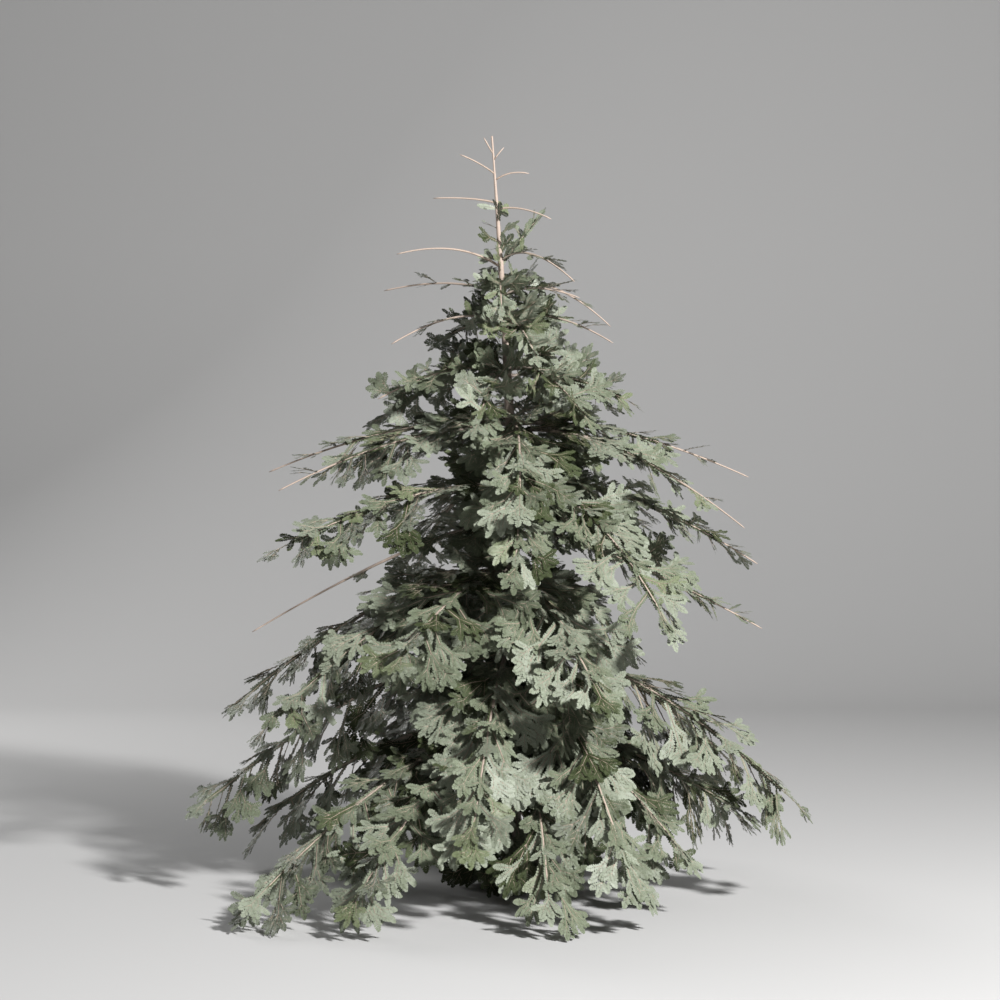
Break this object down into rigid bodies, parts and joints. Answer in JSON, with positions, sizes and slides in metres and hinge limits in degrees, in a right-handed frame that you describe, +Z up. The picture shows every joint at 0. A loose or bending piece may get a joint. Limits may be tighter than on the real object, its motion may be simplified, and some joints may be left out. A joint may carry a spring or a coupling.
{
  "type": "fir sapling",
  "caption": "Young conical fir tree with a leaning bare leader, whorls of drooping boughs and flat sprays of sage-green needles, cut flat at ground level.",
  "frame": {"origin": "middle of the flat cut under the trunk, at ground level", "axes": "+Z up along the trunk, -Y towards the side that the picture shows, +X to that view's right"},
  "size_m": [1.8931, 1.8231, 2.337],
  "materials": {
    "bark": "matt",
    "shoot_bark": "matt",
    "needles": "satin"
  },
  "bodies": {
    "root": {"bare_shoot_02a": "shoot_bark", "bare_shoot_02b": "shoot_bark", "bare_shoot_03a": "shoot_bark", "bare_shoot_03b": "shoot_bark", "bare_shoot_04b": "shoot_bark", "bough_09d": "bark", "bough_12g": "bark", "foliage_04a": "needles", "foliage_04c": "needles", "foliage_05a": "needles", "foliage_05b": "needles", "foliage_05c": "needles", "foliage_05d": "needles", "foliage_06a": "needles", "foliage_06b": "needles", "foliage_06c": "needles", "foliage_06d": "needles", "foliage_06e": "needles", "foliage_07a": "needles", "foliage_07b": "needles", "foliage_07c": "needles", "foliage_07d": "needles", "foliage_07e": "needles", "foliage_07f": "needles", "foliage_08a": "needles", "foliage_08b": "needles", "foliage_08c": "needles", "foliage_08d": "needles", "foliage_08e": "needles", "foliage_08f": "needles", "foliage_09a": "needles", "foliage_09b": "needles", "foliage_09c": "needles", "foliage_09d": "needles", "foliage_09e": "needles", "foliage_09f": "needles", "foliage_10a": "needles", "foliage_10b": "needles", "foliage_11a": "needles", "foliage_11b": "needles", "foliage_11c": "needles", "foliage_11d": "needles", "foliage_11e": "needles", "foliage_11f": "needles", "foliage_12a": "needles", "foliage_12b": "needles", "foliage_12c": "needles", "foliage_12d": "needles", "foliage_12e": "needles", "foliage_12f": "needles", "foliage_12g": "needles", "foliage_13a": "needles", "foliage_13b": "needles", "foliage_13c": "needles", "foliage_13d": "needles", "foliage_13e": "needles", "foliage_13f": "needles", "foliage_13g": "needles", "foliage_13h": "needles", "trunk": "bark"}
  },
  "joints": []
}
